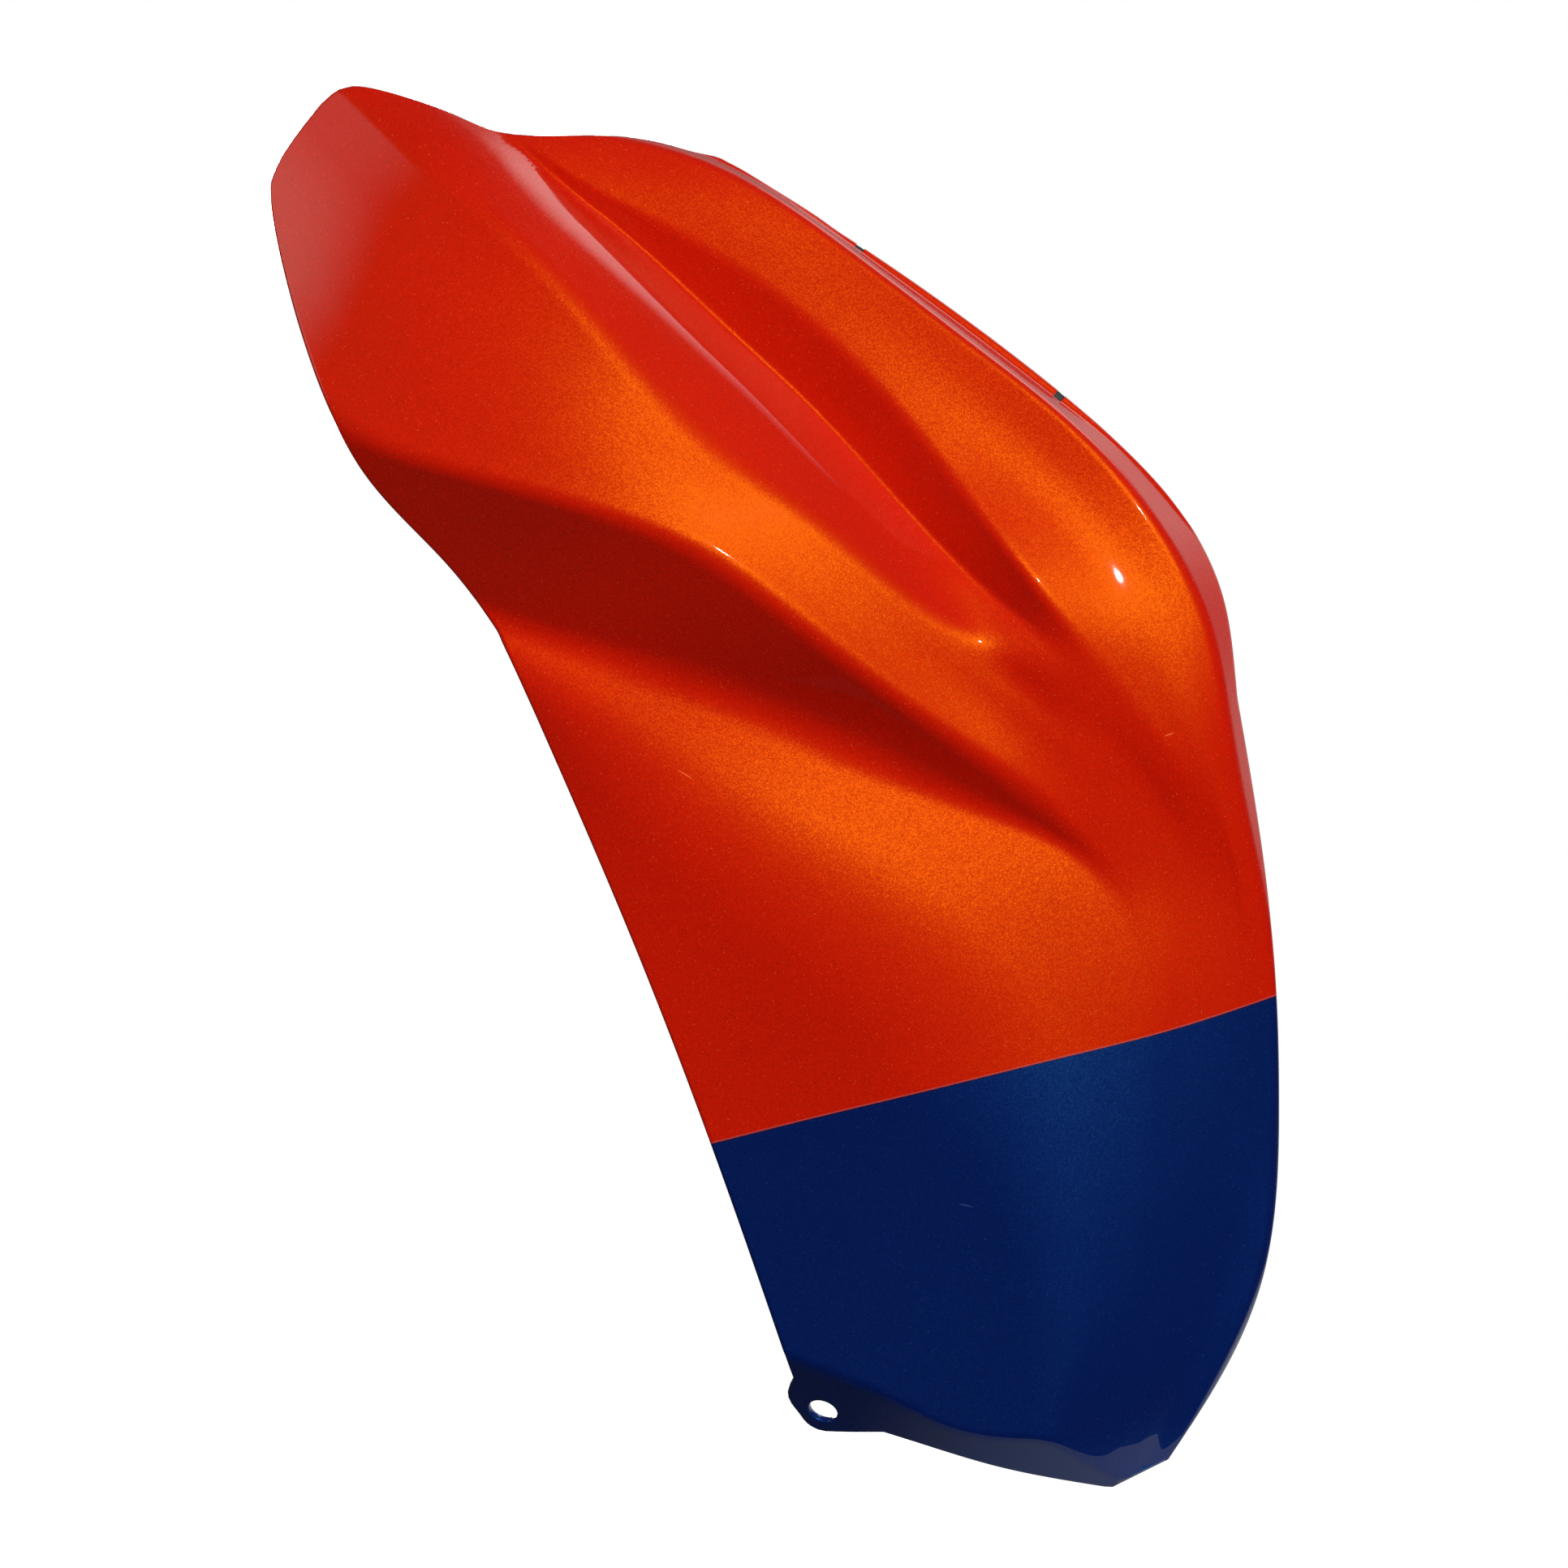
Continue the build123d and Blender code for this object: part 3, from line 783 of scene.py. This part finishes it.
# %% [markdown]
# ## Distances for the finishes
# The paints and the mist ask how far they are from the paint line and from the edge.
# Both distances are stored on the points of the mesh, in millimetres.  Measuring them in
# the shader would need the outline there as well.  Because the rows follow the paint
# line, the first of them stays true between the points too.

# %% Distances for the finishes
where = np.empty(len(cut_mesh.vertices) * 3)
cut_mesh.vertices.foreach_get("co", where)
where = where.reshape(-1, 3) / MM
station, across = to_skin(where[:, 0], where[:, 2])
stored = {"paint_gap": to_row(station, across) - paint_row}
nearest = kdtree.KDTree(len(outline))
for number, (x, z) in enumerate(outline):
    nearest.insert((x, z, 0), number)
nearest.balance()
stored["rim_gap"] = np.array([nearest.find((x, z, 0))[2] for x, _, z in where])
beyond_mist = 2 * mist_width
# No mist settles in the notches, so their dark bare plastic stays as painted shade
for x, z, _ in notches:
    stored["rim_gap"][np.hypot(where[:, 0] - x, where[:, 2] - z) < notch_size[0]] = beyond_mist
for name, values in stored.items():
    cut_mesh.attributes.new(name, "FLOAT", "POINT").data.foreach_set("value", values)
    print(name, values.min().round(1), "to", values.max().round(1), "mm")
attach(fairing_skin, "root")
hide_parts("fairing_panel")

# %% [markdown]
# ## Locating pegs
# On the back stand two pegs that push into rubber grommets on the frame.  Each has a
# chamfered end and stands on crossed ribs that grow out of the panel's inner face.  Since
# the same peg is repeated and its ribs follow the face, it is made with Geometry Nodes:
# a point marks each free end, a peg and its ribs are set on every point, and rays find
# the face that the ribs must reach.  Extruding each rib by hand would have to be done
# again after every change of the skin.

# %% Inputs of the peg tree
# X and Z of a peg's axis, and how far out its free end lies, mm
pegs = [(-113, 345, 26), (86, 134, 7)]
peg_sizes = {"Peg radius": 4.0, "Peg length": 13.0, "Chamfer": 1.0, "Rib span": 18.0, "Rib thickness": 2.0,
             "Root depth": 0.8}
peg_tree = bpy.data.node_groups.new("locating_pegs", "GeometryNodeTree")
sockets = {"Panel": "NodeSocketObject", "Finish": "NodeSocketMaterial"}
sockets.update({name: "NodeSocketFloat" for name in peg_sizes})
peg_tree.interface.new_socket("Geometry", in_out="INPUT", socket_type="NodeSocketGeometry")
identifier = {name: peg_tree.interface.new_socket(name, in_out="INPUT", socket_type=kind).identifier
              for name, kind in sockets.items()}
peg_tree.interface.new_socket("Geometry", in_out="OUTPUT", socket_type="NodeSocketGeometry")
given = add(peg_tree, "NodeGroupInput").outputs
print("peg tree inputs:", list(identifier))

# %% [markdown]
# ### A peg
# The peg starts as a cylinder with one extra ring of points.  Its end ring is drawn in
# and the extra ring moves up below it, which makes the chamfer.  It is then laid along
# the panel's depth, with its free end on the marked point.

# %% A peg
def maths(operation, first, second):
    """The result of one sum in the peg tree."""
    return add(peg_tree, "ShaderNodeMath", {0: first, 1: second}, operation=operation).outputs[0]


def vector(x, y, z):
    """Three numbers joined into a vector in the peg tree."""
    return add(peg_tree, "ShaderNodeCombineXYZ", {0: x, 1: y, 2: z}).outputs[0]


def position_parts():
    """The X, Y and Z of whichever point the peg tree is working on."""
    position = add(peg_tree, "GeometryNodeInputPosition").outputs[0]
    return add(peg_tree, "ShaderNodeSeparateXYZ", {0: position}).outputs


overlap = 0.5 * MM
body_length = maths("ADD", given["Peg length"], overlap)
half_length = maths("MULTIPLY", body_length, 0.5)
cylinder = add(peg_tree, "GeometryNodeMeshCylinder", {"Vertices": 48, "Side Segments": 2,
               "Radius": given["Peg radius"], "Depth": body_length})
at = position_parts()
middle = maths("COMPARE", at[2], 0.0)
end = maths("GREATER_THAN", at[2], maths("MULTIPLY", half_length, 0.5))
lifted = maths("ADD", at[2], maths("MULTIPLY", middle, maths("SUBTRACT", half_length, given["Chamfer"])))
drawn_in = maths("DIVIDE", given["Chamfer"], given["Peg radius"])
narrow = maths("SUBTRACT", 1.0, maths("MULTIPLY", end, drawn_in))
shaped = add(peg_tree, "GeometryNodeSetPosition", {"Geometry": cylinder.outputs[0], "Position": vector(
    maths("MULTIPLY", at[0], narrow), maths("MULTIPLY", at[1], narrow), lifted)})
peg = add(peg_tree, "GeometryNodeTransform", {"Geometry": shaped.outputs[0], "Rotation": (-math.pi / 2, 0, 0),
          "Translation": vector(0.0, maths("MULTIPLY", half_length, -1.0), 0.0)})
print("peg", peg_sizes["Peg length"], "mm long")

# %% [markdown]
# ### Crossed ribs
# A rib is a thin box with many points along it.  The points of its top are marked before
# the boxes are set out, because afterwards their own heights are no longer known.  Every
# marked point is then moved along a ray until it is a little way inside the panel's wall.

# %% Crossed ribs
rib_stub = 1.0 * MM
rib_steps = 19
ray_length = 0.2
marks = add(peg_tree, "GeometryNodeSetPosition", {"Geometry": given["Geometry"]}).outputs[0]
ribs = []
for turn in (0, math.pi / 2):
    box = add(peg_tree, "GeometryNodeMeshCube", {"Size": vector(given["Rib span"], rib_stub,
              given["Rib thickness"]), "Vertices X": rib_steps})
    depth = maths("SUBTRACT", maths("MULTIPLY", given["Peg length"], -1.0), rib_stub / 2)
    placed = add(peg_tree, "GeometryNodeTransform", {"Geometry": box.outputs[0], "Rotation": (0, turn, 0),
                 "Translation": vector(0.0, depth, 0.0)})
    marked = add(peg_tree, "GeometryNodeStoreNamedAttribute", {"Geometry": placed.outputs[0],
                 "Name": "rib_top", "Value": maths("LESS_THAN", position_parts()[1], depth)})
    ribs.append(marked.outputs[0])

realised = []
for shape in [peg.outputs[0]] + ribs:
    copies = add(peg_tree, "GeometryNodeInstanceOnPoints", {"Points": marks, "Instance": shape})
    realised.append(add(peg_tree, "GeometryNodeRealizeInstances", {0: copies.outputs[0]}).outputs[0])
panel = add(peg_tree, "GeometryNodeObjectInfo", {"Object": given["Panel"]})
ray = add(peg_tree, "GeometryNodeRaycast", {"Target Geometry": panel.outputs["Geometry"],
          "Ray Direction": (0, -1, 0), "Ray Length": ray_length}).outputs
rooted = add(peg_tree, "ShaderNodeVectorMath", {0: ray["Hit Position"], 1: vector(
    0.0, maths("MULTIPLY", given["Root depth"], -1.0), 0.0)}, operation="ADD")
top = add(peg_tree, "GeometryNodeInputNamedAttribute", {"Name": "rib_top"}).outputs["Attribute"]
for k in (1, 2):
    realised[k] = add(peg_tree, "GeometryNodeSetPosition", {"Geometry": realised[k], "Selection": top,
                      "Position": rooted.outputs[0]}).outputs[0]
print(len(ribs), "ribs for each of", len(pegs), "pegs")

# %% [markdown]
# ### Pegs as one mesh
# A union melts pegs and ribs into one closed shape.  The sizes are handed to the modifier
# by each socket's identifier, before the tree is first worked out, and the result is kept
# as a plain mesh.  It stands far from the edge, so it is told that no mist reaches it.

# %% Pegs as one mesh
union = add(peg_tree, "GeometryNodeMeshBoolean", operation="UNION", solver="EXACT")
for shape in realised:
    peg_tree.links.new(shape, union.inputs["Mesh 2"])
real = add(peg_tree, "GeometryNodeRealizeInstances", {0: union.outputs[0]})
finished = add(peg_tree, "GeometryNodeSetMaterial", {"Geometry": real.outputs[0],
               "Material": given["Finish"]})
add(peg_tree, "NodeGroupOutput", {0: finished.outputs[0]})

peg_marks = bpy.data.meshes.new("peg_marks")
peg_marks.from_pydata([(x * MM, -tip * MM, z * MM) for x, z, tip in pegs], [], [])
locating_pegs = bpy.data.objects.new("locating_pegs", peg_marks)
bpy.context.scene.collection.objects.link(locating_pegs)
grow = locating_pegs.modifiers.new("grow", "NODES")
grow.node_group = peg_tree
grow[identifier["Panel"]] = fairing_skin
grow[identifier["Finish"]] = bare_plastic
for name, size in peg_sizes.items():
    grow[identifier[name]] = size * MM
peg_mesh = kept_mesh(locating_pegs, "locating_pegs", 30)
far_from_rim = np.full(len(peg_mesh.vertices), beyond_mist)
peg_mesh.attributes.new("rim_gap", "FLOAT", "POINT").data.foreach_set("value", far_from_rim)
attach(locating_pegs, "root")
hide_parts("fairing_panel")
peg_points = np.array([vertex.co for vertex in peg_mesh.vertices]) / MM
print("pegs:", len(peg_mesh.polygons), "faces,", peg_points.min(0).round(1), "to", peg_points.max(0).round(1))

# %% [markdown]
# ## Floor
# The panel stands over a plain floor that the camera sees as white.  White is not made
# with more light, which would wash out the panel.  Instead the floor glows for the camera,
# by about what its own light lacks, so the panel's shadow stays on it.  In the lacquer's
# mirror only its right end glows and the rest is dark, or the folds that face down would
# show a pale patch.

# %% Floor
scene = bpy.context.scene
scene.view_settings.view_transform = "Standard"
floor_height = -0.029
floor_radius = 0.65
floor_middle = 0.62
floor_lift = 0.96
floor_shade, mirrored_shade = 0.25, 0.05
bright_end, end_strength = 0.14, 0.62


def seen_by(tree):
    """What the camera sees straight on, and what it sees in a mirror or through glass."""
    path = add(tree, "ShaderNodeLightPath").outputs
    mirrored = add(tree, "ShaderNodeMath", {0: path["Is Glossy Ray"], 1: path["Is Transmission Ray"]},
                   operation="MAXIMUM")
    return path["Is Camera Ray"], mirrored.outputs[0]


def times(tree, first, second):
    """The product of two values in a tree."""
    return add(tree, "ShaderNodeMath", {0: first, 1: second}, operation="MULTIPLY").outputs[0]


floor_shape = bmesh.new()
bmesh.ops.create_circle(floor_shape, cap_ends=True, segments=96, radius=floor_radius,
                        matrix=Matrix.Translation((0, floor_middle, floor_height)))
floor_mesh = bpy.data.meshes.new("floor")
floor_shape.to_mesh(floor_mesh)
floor_shape.free()
floor = bpy.data.objects.new("floor", floor_mesh)
scene.collection.objects.link(floor)
floor_finish, tree, shader, place = new_material("floor")
tree.nodes.remove(shader)
direct, mirrored = seen_by(tree)
on_floor = add(tree, "ShaderNodeSeparateXYZ", {0: place}).outputs
lit_end = add(tree, "ShaderNodeMapRange", {"Value": on_floor["X"], "From Max": bright_end,
                                           "To Max": end_strength})
seen = add(tree, "ShaderNodeMath", {0: direct, 1: times(tree, mirrored, lit_end.outputs[0])},
           operation="MAXIMUM")
shade = add(tree, "ShaderNodeMapRange", {"Value": mirrored, "To Min": floor_shade, "To Max": mirrored_shade})
matt = add(tree, "ShaderNodeBsdfDiffuse", {"Color": shade.outputs[0]})
glow = add(tree, "ShaderNodeEmission", {"Strength": times(tree, seen.outputs[0], floor_lift)})
sum_of = add(tree, "ShaderNodeAddShader", {0: matt.outputs[0], 1: glow.outputs[0]})
tree.links.new(sum_of.outputs[0], tree.nodes["Material Output"].inputs["Surface"])
floor_mesh.materials.append(floor_finish)
print("floor at", floor_height, "m")

# %% [markdown]
# ## Backdrop
# The backdrop is the world itself.  It is dim, and only rays straight from the camera see
# it as white.  The lacquer mirrors a bright part of it behind the panel on the right,
# weaker where the panel is seen nearly edge on, which gives the joint flange its pale
# wall.  A white wall could stand there instead, but it would light the panel as well.

# %% Backdrop
world = bpy.data.worlds.new("studio")
scene.world = world
world.use_nodes = True
tree = world.node_tree
towards = add(tree, "ShaderNodeSeparateXYZ",
              {0: add(tree, "ShaderNodeTexCoord").outputs["Generated"]}).outputs
dim = add(tree, "ShaderNodeMapRange", {"Value": towards["Z"], "From Min": -0.6, "From Max": 0.8,
                                       "To Min": 0.015, "To Max": 0.05})
behind = add(tree, "ShaderNodeMapRange", {"Value": towards["Y"], "From Min": 0.25, "From Max": 0.6})
edge_on = add(tree, "ShaderNodeMapRange", {"Value": towards["Y"], "From Min": 0.7, "From Max": 0.9,
                                           "To Min": 0.75, "To Max": 0.35})
beside = add(tree, "ShaderNodeMapRange", {"Value": towards["X"], "From Min": -0.15, "From Max": 0.45})
direct, mirrored = seen_by(tree)
bright_side = times(tree, times(tree, behind.outputs[0], beside.outputs[0]), edge_on.outputs[0])
white = add(tree, "ShaderNodeMath", {0: direct, 1: times(tree, mirrored, bright_side)}, operation="MAXIMUM")
strength = add(tree, "ShaderNodeMix", {0: white.outputs[0], 2: dim.outputs[0], 3: 1.0}, data_type="FLOAT")
background = tree.nodes["Background"]
background.inputs["Color"].default_value = (1, 1, 1, 1)
tree.links.new(strength.outputs[0], background.inputs["Strength"])
print("backdrop:", world.name)

# %% [markdown]
# ## Camera
# The picture shows hardly any perspective.  So the camera stands 12 m away with a very
# long lens, level with the middle of the picture, and its view is as wide as the picture
# is at the object's scale.  A camera without any perspective would do too, but a lens
# keeps the little that a real one has.

# %% Camera
picture = 1932
pixels_per_mm = 3.65
bore_pixel = (1015, 1738)
camera_distance = 12.0
face_depth = -0.03
camera_data = bpy.data.cameras.new("camera")
camera = bpy.data.objects.new("camera", camera_data)
scene.collection.objects.link(camera)
scene.camera = camera
camera.location = ((picture / 2 - bore_pixel[0]) / pixels_per_mm * MM, face_depth - camera_distance,
                   (bore_pixel[1] - picture / 2) / pixels_per_mm * MM)
camera.rotation_euler = (math.pi / 2, 0, 0)
camera_data.sensor_width = 36
camera_data.lens = camera_data.sensor_width * camera_distance / (picture / pixels_per_mm * MM)
print("lens", round(camera_data.lens), "mm")

# %% [markdown]
# ## Lamps
# One small lamp above the camera's right shoulder gives the sharp glints and the flare of
# the flakes.  Two large soft boxes, high on the left and behind on the right, draw the
# pale reflections on the nose and along the channel, and a third lights the back.  Their
# light fades towards the rim, as it does through cloth, or the lacquer would show hard
# discs.

# %% Lamps
middle_of_panel = np.array((0, -0.03, 0.2))


def lamp(name, direction, distance, size, power):
    """A round lamp in a direction from the panel, aimed at the panel's middle."""
    data = bpy.data.lights.new(name, "AREA")
    data.shape = "DISK"
    data.size = size
    data.energy = power
    item = bpy.data.objects.new(name, data)
    scene.collection.objects.link(item)
    item.location = middle_of_panel + distance * np.array(direction)
    item.rotation_euler = (-Vector(direction)).to_track_quat("-Z", "Y").to_euler()
    return item


def soften(item):
    """Fade a lamp towards its edge, as the cloth of a soft box does."""
    item.data.use_nodes = True
    tree = item.data.node_tree
    on_lamp = add(tree, "ShaderNodeNewGeometry").outputs["Parametric"]
    centred = add(tree, "ShaderNodeVectorMath", {0: on_lamp, 1: (0.5, 0.5, 0)}, operation="SUBTRACT")
    away = add(tree, "ShaderNodeVectorMath", {0: centred.outputs[0]}, operation="LENGTH")
    fade = add(tree, "ShaderNodeMapRange", {"Value": away.outputs["Value"], "From Min": 0.5,
                                            "From Max": 0.15}, interpolation_type="SMOOTHSTEP")
    tree.links.new(fade.outputs[0], tree.nodes["Emission"].inputs["Strength"])


lamp("key", (0.306, -0.906, 0.29), 3.3, 0.075, 104)
soften(lamp("left_box", (-0.84, -0.25, 0.48), 1.6, 1.5, 7))
soften(lamp("right_box", (0.52, 0.28, 0.80), 1.6, 1.0, 5.2))
soften(lamp("back_box", (-0.2, 0.95, 0.25), 1.8, 1.0, 60))
